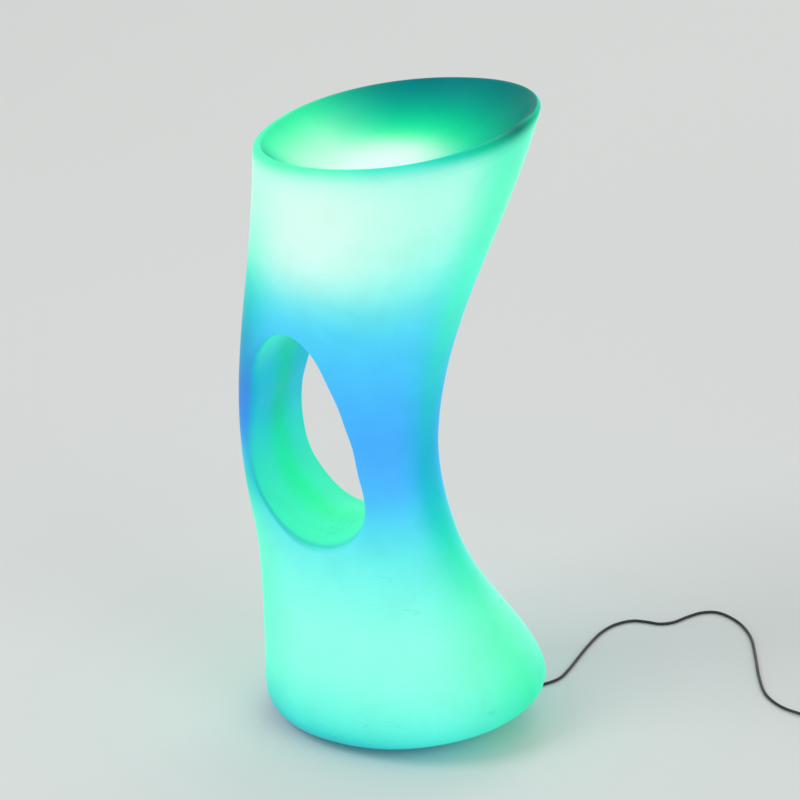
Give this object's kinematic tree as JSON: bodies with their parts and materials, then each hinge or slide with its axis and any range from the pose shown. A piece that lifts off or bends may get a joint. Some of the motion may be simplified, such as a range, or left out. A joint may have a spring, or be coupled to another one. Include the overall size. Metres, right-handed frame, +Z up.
{
  "type": "light-up stool",
  "caption": "Hollow moulded bar stool lit from inside, with a scooped seat, a hand opening through its waist, a lamp module under its base and a charging lead.",
  "frame": {"origin": "on the floor, under the middle of the stool without its lead", "axes": "+Z up, +Y towards the high back of the seat and the heel of the base, +X to the stool's side that the hand opening faces"},
  "size_m": [0.5675, 0.749, 0.7513],
  "materials": {
    "moulded_body": "translucent rotation-moulded polyethylene, satin, lit from inside in mint, aqua and blue",
    "pad_rubber": "black moulded rubber, matt",
    "insert_brass": "turned brass",
    "screw_steel": "zinc plated steel",
    "gasket_silicone": "grey silicone sheet",
    "housing_plastic": "white moulded ABS, fine texture",
    "black_plastic": "black moulded ABS",
    "cell_wrap": "blue heat-shrink sleeve",
    "board_green": "green solder mask",
    "light_board": "white solder mask",
    "button_silicone": "grey silicone",
    "clear_lens": "clear polycarbonate light pipe",
    "lit_diode": "lit diode package",
    "opal_cover": "opal polycarbonate",
    "mast_aluminium": "satin anodised aluminium",
    "plug_moulding": "black moulded vinyl",
    "plug_metal": "nickel plated brass",
    "lead_sheath": "black vinyl sheath, satin"
  },
  "bodies": {
    "root": {"body_shell": "moulded_body", "foot_pad_1": "pad_rubber", "foot_pad_2": "pad_rubber", "foot_pad_3": "pad_rubber", "foot_pad_4": "pad_rubber", "threaded_insert_1": "insert_brass", "threaded_insert_2": "insert_brass", "threaded_insert_3": "insert_brass", "threaded_insert_4": "insert_brass", "module_screw_1": "screw_steel", "module_screw_2": "screw_steel", "module_screw_3": "screw_steel", "module_screw_4": "screw_steel", "module_gasket": "gasket_silicone", "module_housing": "housing_plastic", "battery_cradle": "black_plastic", "battery_cell_1": "cell_wrap", "battery_cell_2": "cell_wrap", "control_board": "board_green", "charge_socket": "black_plastic", "tact_switch": "black_plastic", "button_seal": "pad_rubber", "indicator_lens": "clear_lens", "led_board": "light_board", "base_led_1": "lit_diode", "base_led_2": "lit_diode", "base_led_3": "lit_diode", "base_led_4": "lit_diode", "base_led_5": "lit_diode", "base_led_6": "lit_diode", "base_diffuser": "opal_cover", "mast_collar": "housing_plastic", "lamp_mast": "mast_aluminium", "lamp_head": "mast_aluminium", "head_led_1": "lit_diode", "head_led_2": "lit_diode", "head_led_3": "lit_diode", "head_led_4": "lit_diode", "head_led_5": "lit_diode", "head_led_6": "lit_diode", "head_cover": "opal_cover", "charge_plug": "plug_moulding", "plug_barrel": "plug_metal", "plug_relief": "plug_moulding", "cord_lead": "lead_sheath", "cord_coil": "lead_sheath", "coil_tie": "black_plastic", "adapter_relief": "plug_moulding", "adapter_body": "black_plastic", "adapter_pin_1": "plug_metal", "adapter_pin_2": "plug_metal"},
    "power_button": {"power_button": "button_silicone"}
  },
  "joints": [
    {"name": "power_button_press", "type": "slide", "parent": "root", "child": "power_button", "axis": [0, 0, 1], "range_m": [0, 0.0015], "stiffness_N_per_m": 600}
  ]
}
